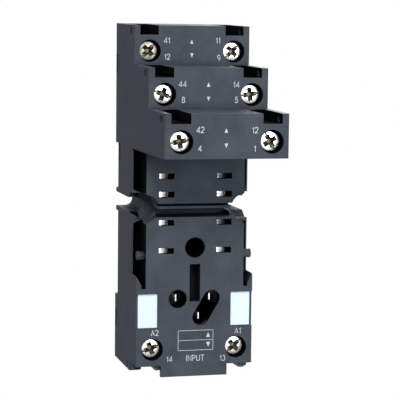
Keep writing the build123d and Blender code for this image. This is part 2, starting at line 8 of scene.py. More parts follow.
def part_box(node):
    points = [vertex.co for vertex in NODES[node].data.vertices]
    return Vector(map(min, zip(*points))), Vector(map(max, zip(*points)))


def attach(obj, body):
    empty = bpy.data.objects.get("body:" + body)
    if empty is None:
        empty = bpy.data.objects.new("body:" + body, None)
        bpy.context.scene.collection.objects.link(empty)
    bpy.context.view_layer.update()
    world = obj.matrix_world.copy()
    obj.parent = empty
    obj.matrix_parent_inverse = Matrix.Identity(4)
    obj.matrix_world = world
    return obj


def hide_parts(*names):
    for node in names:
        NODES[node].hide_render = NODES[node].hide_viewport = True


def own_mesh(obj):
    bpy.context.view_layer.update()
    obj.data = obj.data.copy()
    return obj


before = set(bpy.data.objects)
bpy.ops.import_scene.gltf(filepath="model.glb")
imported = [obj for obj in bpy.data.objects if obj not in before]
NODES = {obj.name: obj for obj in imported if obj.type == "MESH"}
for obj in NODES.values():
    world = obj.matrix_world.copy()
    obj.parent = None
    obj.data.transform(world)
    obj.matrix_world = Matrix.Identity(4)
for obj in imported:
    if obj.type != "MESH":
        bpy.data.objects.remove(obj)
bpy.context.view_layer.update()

# Shapes are in millimetres and turned into metres by MM. Camera, floor, lights and materials are in metres.
MM = 0.001
scene = bpy.context.scene

# Camera, fitted to the photograph by least squares. Lens and sensor are in millimetres.
CAMERA_PLACE = (-0.0856, -0.3570, 0.0434)
CAMERA_YAW = math.radians(14.45)
CAMERA_PITCH = math.radians(6.07)
CAMERA_ROLL = math.radians(0.66)
LENS_LENGTH = 139.86
SENSOR_WIDTH = 36
CLIP_START = 0.02


def add_camera():
    """A camera to the left of the socket that looks a little down on it."""
    flat = math.cos(CAMERA_PITCH)
    back = Vector((-math.sin(CAMERA_YAW) * flat, -math.cos(CAMERA_YAW) * flat, math.sin(CAMERA_PITCH)))
    right = Vector((math.cos(CAMERA_YAW), -math.sin(CAMERA_YAW), 0))
    up = back.cross(right)
    rolled_right = right * math.cos(CAMERA_ROLL) + up * math.sin(CAMERA_ROLL)
    rolled_up = -right * math.sin(CAMERA_ROLL) + up * math.cos(CAMERA_ROLL)
    data = bpy.data.cameras.new("camera")
    data.sensor_width = SENSOR_WIDTH
    data.lens = LENS_LENGTH
    data.clip_start = CLIP_START
    camera = put("camera", data)
    turn = Matrix((rolled_right, rolled_up, back)).transposed().to_4x4()
    camera.matrix_world = Matrix.Translation(CAMERA_PLACE) @ turn
    scene.camera = camera


def put(name, data):
    """A new object in the scene."""
    obj = bpy.data.objects.new(name, data)
    scene.collection.objects.link(obj)
    return obj


# Noise patterns: scale per millimetre, detail and roughness
FLOW_CLOUD = (0.16, 4, 0.6)
SPECK = (5.0, 3, 0.7)
SPARK_GRAIN = (3.6, 3, 0.75)
STAIN = (1.3, 4, 0.6)
METAL_GRAIN = (7.0, 3, 0.6)
INK_WEAR = (14.0, 3, 0.7)

# Position on the speck noise and the grey that the plastic is multiplied by there
PEPPER = ((0.35, 0.84), (0.56, 1.0), (0.70, 1.30))
# Positions on the cloud and stain noise between which one colour turns into the other
CLOUD_STOPS = (0.30, 0.70)
STAIN_STOPS = (0.34, 0.60)
INK_STOPS = (0.34, 0.54)
# The part of a noise's range that a roughness is spread over
NOISE_RANGE = (0.3, 0.7)

SHADER_SAMPLES = 6
PLASTIC_SHEEN = (0.76, 0.84, 1.0, 1)
PLASTIC_BUMP = 0.00012
PLASTIC_ROUNDING = 0.00016
# Painted highlight: a lighter colour laid along sharp edges, which the rounding normal finds
EDGE_HIGHLIGHT_COLOUR = (0.13, 0.14, 0.16, 1)
EDGE_HIGHLIGHT_RANGE = (0.02, 0.25)
# Painted shade: deep in recesses the plastic turns near black and rougher, found by ambient occlusion
RECESS_SHADE_COLOUR = (0.001, 0.001, 0.0012, 1)
RECESS_SHADE_ROUGHNESS = 0.95
RECESS_SHADE_REACH = 0.005
RECESS_SHADE_RANGE = (0.22, 0.62)
METAL_BUMP = 0.00001
METAL_ROUNDING = 0.00006
LEAF_WIDTH = 1.9
LEAF_BUMP = 0.00075
LEAF_ROUGHNESS = (0.36, 0.26)


class Mat:
    """A small helper that builds a node tree around one Principled shader."""

    def __init__(self, name):
        self.mat = bpy.data.materials.new(name)
        self.mat.use_nodes = True
        self.tree = self.mat.node_tree
        self.bsdf = self.tree.nodes["Principled BSDF"]

    def node(self, kind, **settings):
        made = self.tree.nodes.new(kind)
        for key, value in settings.items():
            setattr(made, key, value)
        return made

    def link(self, a, b):
        self.tree.links.new(a, b)

    def give(self, value, socket):
        """Links a socket to the input, or writes a plain value on it."""
        if isinstance(value, bpy.types.NodeSocket):
            self.link(value, socket)
        else:
            socket.default_value = value

    def to(self, name, value):
        """Gives a value to one of the shader's inputs."""
        self.give(value, self.bsdf.inputs[name])

    def coords(self):
        """Object coordinates in millimetres."""
        source = self.node("ShaderNodeTexCoord")
        return self.stretched(source.outputs["Object"], (1 / MM, 1 / MM, 1 / MM))

    def stretched(self, vector, scale):
        mapping = self.node("ShaderNodeMapping")
        mapping.inputs["Scale"].default_value = scale
        self.link(vector, mapping.inputs["Vector"])
        return mapping.outputs["Vector"]

    def noise(self, vector, pattern):
        made = self.node("ShaderNodeTexNoise")
        for key, value in zip(("Scale", "Detail", "Roughness"), pattern):
            made.inputs[key].default_value = value
        self.link(vector, made.inputs["Vector"])
        return made.outputs["Fac"]

    def ramp(self, factor, positions, colours):
        made = self.node("ShaderNodeValToRGB")
        stops = made.color_ramp.elements
        while len(stops) < len(positions):
            stops.new(0.5)
        for stop, position, colour in zip(stops, positions, colours):
            stop.position = position
            stop.color = (*colour, 1)
        self.link(factor, made.inputs["Fac"])
        return made.outputs["Color"]

    def mixed(self, kind, factor, a, b, **settings):
        """Value a where the factor is 0 and b where it is 1. The kind is RGBA or FLOAT."""
        made = self.node("ShaderNodeMix", data_type=kind, **settings)
        for key, value in (("Factor", factor), ("A", a), ("B", b)):
            socket = [s for s in made.inputs if s.name == key and s.enabled][0]
            self.give(value, socket)
        return [s for s in made.outputs if s.enabled][0]

    def scaled(self, value, to_range, from_range=(0.0, 1.0)):
        made = self.node("ShaderNodeMapRange")
        made.inputs["From Min"].default_value = from_range[0]
        made.inputs["From Max"].default_value = from_range[1]
        made.inputs["To Min"].default_value = to_range[0]
        made.inputs["To Max"].default_value = to_range[1]
        self.link(value, made.inputs["Value"])
        return made.outputs["Result"]

    def bevel(self, radius):
        made = self.node("ShaderNodeBevel", samples=SHADER_SAMPLES)
        made.inputs["Radius"].default_value = radius
        return made.outputs["Normal"]

    def normal(self, height, strength, distance, rounding=0.0, invert=False):
        bump = self.node("ShaderNodeBump", invert=invert)
        bump.inputs["Strength"].default_value = strength
        bump.inputs["Distance"].default_value = distance
        self.link(height, bump.inputs["Height"])
        if rounding:
            self.link(self.bevel(rounding), bump.inputs["Normal"])
        self.link(bump.outputs["Normal"], self.bsdf.inputs["Normal"])

    def edge(self, radius):
        """Near 0 on flat faces, rising towards 1 on sharp edges."""
        geometry = self.node("ShaderNodeNewGeometry")
        dot = self.node("ShaderNodeVectorMath", operation="DOT_PRODUCT")
        self.link(self.bevel(radius), dot.inputs[0])
        self.link(geometry.outputs["Normal"], dot.inputs[1])
        return self.scaled(dot.outputs["Value"], (1.0, 0.0))

    def cavity(self, reach):
        """Mask for the painted shade, from ambient occlusion: 1 in the open, falling towards 0 deep in
        recesses and slots.
        """
        made = self.node("ShaderNodeAmbientOcclusion", samples=SHADER_SAMPLES)
        made.inputs["Distance"].default_value = reach
        return self.scaled(made.outputs["AO"], (0.0, 1.0), RECESS_SHADE_RANGE)


def plastic(name, dark, light, rough, grain=0.35, edge_highlight=0.0, deep=False, level=0.5, mottle=1.0):
    """Moulded plastic: a fine spark-eroded grain, faint flow clouds, a painted highlight on sharp edges and,
    with deep, painted shade in recesses.
    """
    m = Mat(name)
    v = m.coords()
    fine = m.noise(v, SPARK_GRAIN)
    base = m.ramp(m.noise(v, FLOW_CLOUD), CLOUD_STOPS, (dark, light))
    places = [place for place, grey in PEPPER]
    greys = [(grey, grey, grey) for place, grey in PEPPER]
    pepper = m.ramp(m.noise(v, SPECK), places, greys)
    base = m.mixed("RGBA", mottle, base, pepper, blend_type="MULTIPLY")
    # Painted highlight: a lighter colour along sharp edges
    ink_wear_and_edge_highlight = m.scaled(m.edge(PLASTIC_ROUNDING), (0.0, edge_highlight), EDGE_HIGHLIGHT_RANGE)
    base = m.mixed("RGBA", ink_wear_and_edge_highlight, base, EDGE_HIGHLIGHT_COLOUR)
    spread = m.scaled(fine, rough, NOISE_RANGE)
    # Painted shade: near black, rougher plastic deep in recesses
    if deep:
        recess_shade_mask = m.cavity(RECESS_SHADE_REACH)
        base = m.mixed("RGBA", recess_shade_mask, RECESS_SHADE_COLOUR, base)
        spread = m.mixed("FLOAT", recess_shade_mask, RECESS_SHADE_ROUGHNESS, spread)
    m.to("Base Color", base)
    m.to("Roughness", spread)
    m.to("Specular IOR Level", level)
    m.to("Specular Tint", PLASTIC_SHEEN)
    m.normal(fine, grain, PLASTIC_BUMP, PLASTIC_ROUNDING)
    return m.mat


def metal(name, colour, dull, rough=(0.16, 0.32), grain=0.2, brushed=None):
    """Plated metal with faint stains. Brushed is the stretch of its grain along each axis."""
    m = Mat(name)
    v = m.coords()
    along = m.stretched(v, brushed) if brushed else v
    fine = m.noise(along, METAL_GRAIN)
    m.to("Base Color", m.ramp(m.noise(v, STAIN), STAIN_STOPS, (dull, colour)))
    m.to("Metallic", 1.0)
    m.to("Roughness", m.scaled(fine, rough, NOISE_RANGE))
    m.normal(fine, grain, METAL_BUMP, METAL_ROUNDING)
    return m.mat


def rolled_leaf(name, colour, dull, start):
    """Contact leaf, from x = start in millimetres, whose face rolls away towards its right side."""
    m = Mat(name)
    v = m.coords()
    split = m.node("ShaderNodeSeparateXYZ")
    m.link(v, split.inputs["Vector"])
    across = m.scaled(split.outputs["X"], (0.0, 1.0), (start, start + LEAF_WIDTH))
    square = m.node("ShaderNodeMath", operation="MULTIPLY")
    m.link(across, square.inputs[0])
    m.link(across, square.inputs[1])
    stain = m.noise(v, STAIN)
    m.to("Base Color", m.ramp(stain, STAIN_STOPS, (dull, colour)))
    m.to("Metallic", 1.0)
    m.to("Roughness", m.scaled(stain, LEAF_ROUGHNESS, NOISE_RANGE))
    m.normal(square.outputs["Value"], 1.0, LEAF_BUMP, invert=True)
    return m.mat


def print_ink():
    """Pale grey ink, thin in places."""
    m = Mat("print_ink")
    ink_wear_and_edge_highlight = m.noise(m.coords(), INK_WEAR)
    m.to("Base Color", m.ramp(ink_wear_and_edge_highlight, INK_STOPS, ((0.24, 0.25, 0.26), (0.60, 0.61, 0.63))))
    m.to("Roughness", 0.6)
    m.normal(ink_wear_and_edge_highlight, 0.2, METAL_BUMP)
    return m.mat


# Plastics
black = plastic("black_plastic", dark=(0.043, 0.049, 0.061), light=(0.066, 0.075, 0.092),
                rough=(0.34, 0.54), grain=1.0, edge_highlight=0.08, deep=True, level=0.10)
# The outer side walls take a lighter, less glossy copy of the black plastic: painted light for how light
# falls on the sides
outer = plastic("black_plastic_side_lit", dark=(0.057, 0.064, 0.084), light=(0.067, 0.075, 0.098),
                rough=(0.5, 0.66), grain=1.0, edge_highlight=0.05, deep=True, level=0.035)
# Near black copies that paint shade into the housing's openings (unlit) and into the waist band and key slot
# (dim)
unlit = plastic("black_plastic_inner_shade", dark=(0.0012, 0.0012, 0.0016), light=(0.0020, 0.0021, 0.0026),
                rough=(0.75, 0.9), level=0.02)
dim = plastic("black_plastic_shade", dark=(0.0035, 0.0040, 0.0060), light=(0.0050, 0.0056, 0.0080),
              rough=(0.5, 0.7), level=0.22)
latch_black = plastic("latch_plastic", dark=(0.020, 0.021, 0.024), light=(0.028, 0.029, 0.033),
                      rough=(0.34, 0.46), edge_highlight=0.06)
pale = plastic("marker_plastic", dark=(0.67, 0.77, 0.83), light=(0.69, 0.79, 0.85),
               rough=(0.42, 0.5), grain=0.1, mottle=0.1)
ink = print_ink()

# Metals
nickel = metal("screw_nickel", (0.90, 0.89, 0.86), (0.78, 0.76, 0.70))
nickel_soft = metal("screw_nickel_soft", (0.80, 0.79, 0.74), (0.52, 0.50, 0.44),
                    rough=(0.26, 0.40), grain=0.4)
nickel_dull = metal("screw_nickel_dull", (0.36, 0.34, 0.29), (0.14, 0.13, 0.105),
                    rough=(0.34, 0.5), grain=0.6)
# Dark metal for the faces of each screw's cross and slot: painted shade in the recess
recess_shade_metal = metal("screw_recess_painted_shade", (0.16, 0.145, 0.105), (0.05, 0.045, 0.035),
              rough=(0.45, 0.6), grain=0.6)
zinc = metal("cage_zinc", (0.62, 0.63, 0.65), (0.45, 0.46, 0.47),
             rough=(0.3, 0.45), brushed=(0.3, 0.3, 4))
leaf = metal("contact_metal", (0.62, 0.61, 0.64), (0.40, 0.39, 0.40),
             rough=(0.28, 0.42), brushed=(4, 0.3, 4))
steel = metal("spring_steel", (0.55, 0.55, 0.56), (0.35, 0.34, 0.33), rough=(0.25, 0.4))

# Left end of the contact leaves in the left and in the right column of the seat
LEAF_LEFT_X = -8.33
LEAF_RIGHT_X = 5.0
leaf_left = rolled_leaf("contact_leaf_left", (0.80, 0.78, 0.82), (0.58, 0.57, 0.60), LEAF_LEFT_X)
leaf_right = rolled_leaf("contact_leaf_right", (0.80, 0.80, 0.84), (0.52, 0.51, 0.54), LEAF_RIGHT_X)
# Darker copies of the same contact metal, for strips that lie in shade: painted shade
leaf_shaded = rolled_leaf("contact_leaf_shaded", (0.12, 0.12, 0.13), (0.07, 0.07, 0.08), LEAF_RIGHT_X)
leaf_half_shaded = rolled_leaf("contact_leaf_half_shaded", (0.34, 0.33, 0.36), (0.24, 0.23, 0.25), LEAF_LEFT_X)

# The finish of each node, by the start of its name. A later line goes over an earlier one.
FINISH = {
    "front_housing": black,
    "rear_cover": black,
    "rail_latch": latch_black,
    "latch_spring": steel,
    "contact_strip": leaf_right,
    "module_contact": leaf,
    "clamp_cage": zinc,
    "terminal_screw": nickel,
    "marker_plate": pale,
    "contact_strip_top_left": leaf_left,
    "contact_strip_middle_left": leaf_left,
    "contact_strip_coil_left": leaf_left,
    # These three strips take the darker copies: painted shade
    "contact_strip_front_left": leaf_half_shaded,
    "contact_strip_front_right": leaf_shaded,
    "contact_strip_top_right": leaf_shaded,
}


def finish_nodes():
    for name, obj in NODES.items():
        for start, material in FINISH.items():
            if name.startswith(start):
                obj.data.materials.clear()
                obj.data.materials.append(material)


# Openings of the housing, whose inner faces are given near black copies of the plastic as painted shade
TIER_Y = (-16.2, -31.4, -47.0)
TIER_TOP = (45.4, 36.3, 27.2)
SEAT_Y = -21.0
PAST_FACE = 0.01
ENTRY_X = (7.6, 12.1)
ENTRY_DEPTH = 14
ENTRY_Z = (-2.15, 0.6)
BLADE_ROW_Z = (11.9, 7.8, 1.45, -4.9)
BLADE_SLOT_X = (4.9, 8.45)
BLADE_SLOT_DEPTH = 3
BLADE_SLOT_HALF = 0.7
MODULE_ZONE = ((0.0, 7.0), (SEAT_Y + 0.3, -4.0), (-20.8, -2.0))
LEG_SLOT_X = (-12.35, -11.3)
LEG_SLOT_Y = (SEAT_Y + PAST_FACE, -7.0)
LEG_SLOT_Z = (-13.5, 17.9)
WAIST_BAND = ((0.0, 8.65), (SEAT_Y + 1.01, -13.9), (2.65, 4.55))
KEY_SLOT = ((0.0, 1.25), (SEAT_Y + PAST_FACE, -14.5), (-16.55, -7.9))
SCREW_X = 9.75
SCREW_HOLE_R = 2.52
SCREW_DROP = (5.7, 5.75, 5.85)
COIL_SCREW_Z = -27.3
BORE_DEPTH = 9
BORE_START_Y = SEAT_Y + 0.2
# Middle x and z, radius and front of the locating bore and of the round module hole
SEAT_BORES = ((0.0, -4.3, 2.27, BORE_START_Y), (-3.87, -15.92, 2.07, BORE_START_Y))
# Faces that look sideways and lie farther out than this are the outer walls
WALL_X = 12
SIDEWAYS = 0.9


def unlit_zones():
    """Wire entries, blade slots and module holes, each as ranges of the distance from the middle, y and z."""
    zones = [MODULE_ZONE]
    for y, top in zip(TIER_Y, TIER_TOP):
        zones.append((ENTRY_X, (y + PAST_FACE, y + ENTRY_DEPTH), (top + ENTRY_Z[0], top + ENTRY_Z[1])))
    for z in BLADE_ROW_Z:
        depths = (SEAT_Y + PAST_FACE, SEAT_Y + BLADE_SLOT_DEPTH)
        zones.append((BLADE_SLOT_X, depths, (z - BLADE_SLOT_HALF, z + BLADE_SLOT_HALF)))
    return zones


def unlit_bores():
    """Screwdriver holes and the round holes of the seat."""
    bores = list(SEAT_BORES)
    screws = [(y, top - drop) for y, top, drop in zip(TIER_Y, TIER_TOP, SCREW_DROP)]
    for y, z in screws + [(SEAT_Y, COIL_SCREW_Z)]:
        for x in (-SCREW_X, SCREW_X):
            bores.append((x, z, SCREW_HOLE_R, y + PAST_FACE))
    return bores


def in_ranges(values, ranges):
    return all(low <= value <= high for value, (low, high) in zip(values, ranges))


def in_zones(point, zones):
    place = (abs(point.x), point.y, point.z)
    return any(in_ranges(place, zone) for zone in zones)


def in_bores(point, bores):
    for x, z, radius, y in bores:
        if math.hypot(point.x - x, point.z - z) <= radius and y <= point.y <= y + BORE_DEPTH:
            return True
    return False


def in_left_leg_slot(point):
    """The slot for the clip's leg on the side that faces the camera."""
    return in_ranges(point, (LEG_SLOT_X, LEG_SLOT_Y, LEG_SLOT_Z))


def finish_housing():
    """Paints shade into the housing's openings with near black copies of the plastic, and gives the outer
    walls a lighter copy as painted light.
    """
    mesh = NODES["front_housing"].data
    slots = {material: len(mesh.materials) + k for k, material in enumerate((unlit, dim, outer))}
    for material in slots:
        mesh.materials.append(material)
    zones, bores = unlit_zones(), unlit_bores()
    for face in mesh.polygons:
        point = face.center / MM
        # Painted shade: the waist band and key slot take the dim copy, the other openings the unlit one
        if in_zones(point, (WAIST_BAND, KEY_SLOT)):
            face.material_index = slots[dim]
        elif in_left_leg_slot(point) or in_zones(point, zones) or in_bores(point, bores):
            face.material_index = slots[unlit]
        # Outer side walls: the lighter copy, painted light
        elif abs(face.normal.x) > SIDEWAYS and abs(point.x) > WALL_X:
            face.material_index = slots[outer]


# Terminal screw
HEAD_R = 2.2
HEAD_H = 1.5
RIM_R = 0.28
RIM_Y = 0.43
DOME_RISE = 0.20
DOME_STEPS = 8
RIM_STEPS = 5
RIM_STEP_ANGLE = 18
HEAD_CHAMFER = 0.08
SPIGOT_R = 1.3
SPIGOT_LONG = 0.5
HEAD_SEGMENTS = 96
# Length and width at the top and at the foot of a cut, and the depths of both
CROSS_CUT = (3.45, 1.18, 0.9, 0.40, -0.2, 1.25)
SLOT_CUT = (6, 0.38, 6, 0.34, -0.2, 0.55)
SHANK_R = 1.48
THREAD_PITCH = 0.5
THREAD_DEEP = 0.27
THREAD_FLANK = 2.4
THREAD_START = 0.3
THREAD_SEGMENTS = 28
RINGS_PER_TURN = 8
FADE_IN = 0.4
FADE_OUT = 0.3
FADE_FLOOR = 0.15
TIP_LONG = 0.35
SCREW_SMOOTH_ANGLE = 32

# Angle of each screw's slot, in degrees anticlockwise as seen from the front, and its coat
SCREWS = {
    "top_left": (45, nickel_dull),
    "middle_left": (-20, nickel),
    "front_left": (10, nickel_soft),
    "coil_left": (20, nickel_soft),
    "top_right": (45, nickel),
    "middle_right": (8, nickel),
    "front_right": (-60, nickel),
    "coil_right": (42, nickel_soft),
}


def mesh_from(name, verts, faces):
    mesh = bpy.data.meshes.new(name)
    mesh.from_pydata([tuple(c * MM for c in v) for v in verts], [], faces)
    mesh.update()
    return mesh


def outward(mesh):
    """Turns all faces of a closed mesh outwards."""
    bm = bmesh.new()
    bm.from_mesh(mesh)
    bmesh.ops.recalc_face_normals(bm, faces=bm.faces)
    bm.to_mesh(mesh)
    bm.free()


def smooth_by_angle(mesh, degrees):
    bm = bmesh.new()
    bm.from_mesh(mesh)
    for face in bm.faces:
        face.smooth = True
    for e in bm.edges:
        e.smooth = len(e.link_faces) == 2 and e.calc_face_angle(0) < math.radians(degrees)
    bm.to_mesh(mesh)
    bm.free()


def ring_quads(one, two, count):
    """Faces between two rings of the given count, each named by its first vertex."""
    quads = []
    for i in range(count):
        j = (i + 1) % count
        quads.append((one + i, one + j, two + j, two + i))
    return quads


def lathe(profile, segments):
    """Closed solid of revolution about Y. The profile runs from the axis out and back to the axis."""
    verts = [(0, profile[0][1], 0)]
    for r, y in profile[1:-1]:
        for i in range(segments):
            a = 2 * math.pi * i / segments
            verts.append((r * math.cos(a), y, r * math.sin(a)))
    verts.append((0, profile[-1][1], 0))
    faces = []
    for k in range(len(profile) - 3):
        faces += ring_quads(1 + k * segments, 1 + (k + 1) * segments, segments)
    end = len(verts) - 1
    for i in range(segments):
        j = (i + 1) % segments
        faces.append((0, 1 + i, 1 + j))
        faces.append((end - segments + j, end - segments + i, end))
    return verts, faces


def tapered_bar(long_top, wide_top, long_low, wide_low, y_top, y_low):
    verts = []
    for y, long, wide in ((y_top, long_top, wide_top), (y_low, long_low, wide_low)):
        for sx, sz in ((-1, -1), (1, -1), (1, 1), (-1, 1)):
            verts.append((sx * long / 2, y, sz * wide / 2))
    return verts, [(0, 1, 2, 3), (7, 6, 5, 4), (0, 4, 5, 1), (1, 5, 6, 2), (2, 6, 7, 3), (3, 7, 4, 0)]


def head_profile():
    """From the middle of the low dome over the rounded rim to the spigot that reaches into the shank."""
    dome_r = HEAD_R - RIM_R
    profile = []
    for k in range(DOME_STEPS + 1):
        r = dome_r * k / DOME_STEPS
        profile.append((r, DOME_RISE * (r / HEAD_R) ** 2))
    for k in range(1, RIM_STEPS + 1):
        a = math.radians(RIM_STEP_ANGLE * k)
        profile.append((dome_r + RIM_R * math.sin(a), RIM_Y - RIM_R * math.cos(a)))
    profile.append((HEAD_R, HEAD_H - HEAD_CHAMFER))
    profile.append((HEAD_R - HEAD_CHAMFER, HEAD_H))
    profile.append((SPIGOT_R, HEAD_H))
    profile.append((SPIGOT_R, HEAD_H + SPIGOT_LONG))
    profile.append((0, HEAD_H + SPIGOT_LONG))
    return profile


def screw_head():
    """Head with a tapered cross and a narrow slot right across, cut as real sunk forms, whose cut faces take
    dark metal as painted shade.
    """
    head = put("head", mesh_from("head", *lathe(head_profile(), HEAD_SEGMENTS)))
    outward(head.data)
    head.data.materials.append(nickel)
    head.data.materials.append(recess_shade_metal)
    verts, faces = tapered_bar(*CROSS_CUT)
    turned = [(z, y, x) for x, y, z in verts]
    for shape in ((verts, faces), tapered_bar(*SLOT_CUT), (turned, faces)):
        cutter = put("cutter", mesh_from("cutter", *shape))
        outward(cutter.data)
        cutter.data.materials.append(nickel)
        cutter.data.materials.append(recess_shade_metal)
        # Faces of the cut take the dark metal: painted shade
        for face in cutter.data.polygons:
            face.material_index = 1
        cut = head.modifiers.new("cut", "BOOLEAN")
        cut.operation = "DIFFERENCE"
        cut.solver = "EXACT"
        cut.object = cutter
        bpy.context.view_layer.update()
        result = bpy.data.meshes.new_from_object(head.evaluated_get(bpy.context.evaluated_depsgraph_get()))
        head.modifiers.clear()
        head.data = result
        bpy.data.objects.remove(cutter)
    bpy.data.objects.remove(head)
    return result


def screw_thread(y0, y1):
    """Threaded shank: the surface dips once per pitch along a right-hand helix, and ends in a short cone."""
    verts, faces = [], []
    steps = round((y1 - y0) / THREAD_PITCH * RINGS_PER_TURN)
    for k in range(steps + 1):
        y = y0 + (y1 - y0) * k / steps
        fade = min(1.0, (y - y0) / FADE_IN, (y1 - y) / FADE_OUT + FADE_FLOOR)
        for i in range(THREAD_SEGMENTS):
            a = 2 * math.pi * i / THREAD_SEGMENTS
            phase = (y / THREAD_PITCH + i / THREAD_SEGMENTS) % 1.0
            dip = THREAD_DEEP * fade * min(1.0, THREAD_FLANK * min(phase, 1 - phase))
            r = SHANK_R - dip
            verts.append((r * math.cos(a), y, r * math.sin(a)))
    for k in range(steps):
        faces += ring_quads(k * THREAD_SEGMENTS, (k + 1) * THREAD_SEGMENTS, THREAD_SEGMENTS)
    top, tip = len(verts), len(verts) + 1
    verts += [(0, y0, 0), (0, y1 + TIP_LONG, 0)]
    last = steps * THREAD_SEGMENTS
    for i in range(THREAD_SEGMENTS):
        j = (i + 1) % THREAD_SEGMENTS
        faces.append((top, j, i))
        faces.append((tip, last + i, last + j))
    mesh = mesh_from("thread", verts, faces)
    outward(mesh)
    return mesh


def add_screw(place, slot_angle, coat, head):
    """A full screw in the place of the CAD screw, on the body that turns and slides with it."""
    node = "terminal_screw_" + place
    low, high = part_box(node)
    thread = screw_thread(HEAD_H + THREAD_START, (high.y - low.y) / MM - TIP_LONG)
    bm = bmesh.new()
    bm.from_mesh(head)
    bm.from_mesh(thread)
    bpy.data.meshes.remove(thread)
    mesh = bpy.data.meshes.new(node + "_full")
    bm.to_mesh(mesh)
    bm.free()
    smooth_by_angle(mesh, SCREW_SMOOTH_ANGLE)
    mesh.materials.append(coat)
    mesh.materials.append(recess_shade_metal)
    middle = Vector(((low.x + high.x) / 2, low.y, (low.z + high.z) / 2))
    mesh.transform(Matrix.Translation(middle) @ Matrix.Rotation(math.radians(-slot_angle), 4, "Y"))
    obj = put(node + "_full", mesh)
    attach(obj, "screw_" + place)
    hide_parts(node)


def add_screws():
    head = screw_head()
    for place, (slot_angle, coat) in SCREWS.items():
        add_screw(place, slot_angle, coat, head)
    bpy.data.meshes.remove(head)


# Latch spring
SPRING_TURNS = 4
SPRING_WIRE_R = 0.17
SPRING_STEPS_PER_TURN = 24
WIRE_SIDES = 8
WIRE_SMOOTH_ANGLE = 60


def coil(low, high):
    """Round wire wound upwards inside the box from low to high, with a flat cap on each end."""
    low, high = low / MM, high / MM
    mean_r = (high.x - low.x) / 2 - SPRING_WIRE_R
    middle = (low + high) / 2
    z0 = low.z + SPRING_WIRE_R
    z1 = high.z - SPRING_WIRE_R
    steps = SPRING_TURNS * SPRING_STEPS_PER_TURN
    verts, faces = [], []
    for k in range(steps + 1):
        a = 2 * math.pi * k / SPRING_STEPS_PER_TURN
        for i in range(WIRE_SIDES):
            b = 2 * math.pi * i / WIRE_SIDES
            r = mean_r + SPRING_WIRE_R * math.cos(b)
            z = z0 + (z1 - z0) * k / steps + SPRING_WIRE_R * math.sin(b)
            verts.append((middle.x + r * math.cos(a), middle.y + r * math.sin(a), z))
    for k in range(steps):
        faces += ring_quads(k * WIRE_SIDES, (k + 1) * WIRE_SIDES, WIRE_SIDES)
    faces.append(tuple(range(WIRE_SIDES)))
    faces.append(tuple(range(steps * WIRE_SIDES, (steps + 1) * WIRE_SIDES)))
    mesh = mesh_from("coil", verts, faces)
    outward(mesh)
    smooth_by_angle(mesh, WIRE_SMOOTH_ANGLE)
    mesh.materials.append(steel)
    return mesh


def add_spring():
    """A round-wire spring that stands on the cover, in the place of the CAD spring."""
    low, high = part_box("latch_spring")
    spring = put("latch_spring_live", coil(low, high))
    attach(spring, "socket_body")
    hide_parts("latch_spring")
    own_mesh(spring)


# Printed figures
INK_HIGH = 0.02
SIGN_GAP = 0.15
SIGN_HEIGHT = 1.24
SIGN_SQUEEZE = 0.98
STROKE = 0.15
MITRE_LIMIT = 0.45
UP, DOWN = True, False


def arc(cx, cz, rx, rz, start, end, steps=9):
    """Points of an elliptic arc, angles in degrees anticlockwise from the right."""
    out = []
    for k in range(steps + 1):
        a = math.radians(start + (end - start) * k / steps)
        out.append((cx + rx * math.cos(a), cz + rz * math.sin(a)))
    return out


# Width of each sign and its strokes, in a box one unit high
SIGNS = {
    "1": (0.36, [[(0.04, 0.76), (0.16, 0.80), (0.27, 0.97), (0.27, 0.0)]]),
    "2": (0.56, [arc(0.28, 0.72, 0.25, 0.28, 172, -35) + [(0.05, 0.04), (0.55, 0.04)]]),
    "3": (0.56, [arc(0.27, 0.75, 0.22, 0.25, 160, -78), arc(0.27, 0.27, 0.26, 0.27, 85, -165)]),
    "4": (0.62, [[(0.46, 0.0), (0.46, 0.97), (0.04, 0.27), (0.62, 0.27)]]),
    "5": (0.56, [[(0.52, 0.97), (0.14, 0.97), (0.08, 0.50)] + arc(0.28, 0.32, 0.25, 0.32, 130, -160)]),
    "8": (0.56, [arc(0.28, 0.76, 0.21, 0.23, 0, 360, 14), arc(0.28, 0.27, 0.25, 0.27, 0, 360, 14)]),
    "9": (0.56, [arc(0.28, 0.69, 0.24, 0.30, 0, 360, 14), arc(0.20, 0.60, 0.33, 0.60, 15, -80)]),
    "A": (0.68, [[(0.02, 0.0), (0.34, 0.97), (0.66, 0.0)], [(0.13, 0.32), (0.55, 0.32)]]),
    "I": (0.14, [[(0.07, 0.0), (0.07, 1.0)]]),
    "N": (0.64, [[(0.05, 0.0), (0.05, 0.97), (0.59, 0.03), (0.59, 1.0)]]),
    "P": (0.58, [[(0.05, 0.0), (0.05, 0.96), (0.32, 0.96)] + arc(0.32, 0.71, 0.22, 0.25, 90, -90)
                 + [(0.05, 0.46)]]),
    "U": (0.64, [[(0.05, 1.0), (0.05, 0.30)] + arc(0.32, 0.30, 0.27, 0.28, 180, 360) + [(0.59, 1.0)]]),
    "T": (0.62, [[(0.0, 0.96), (0.62, 0.96)], [(0.31, 0.96), (0.31, 0.0)]]),
}

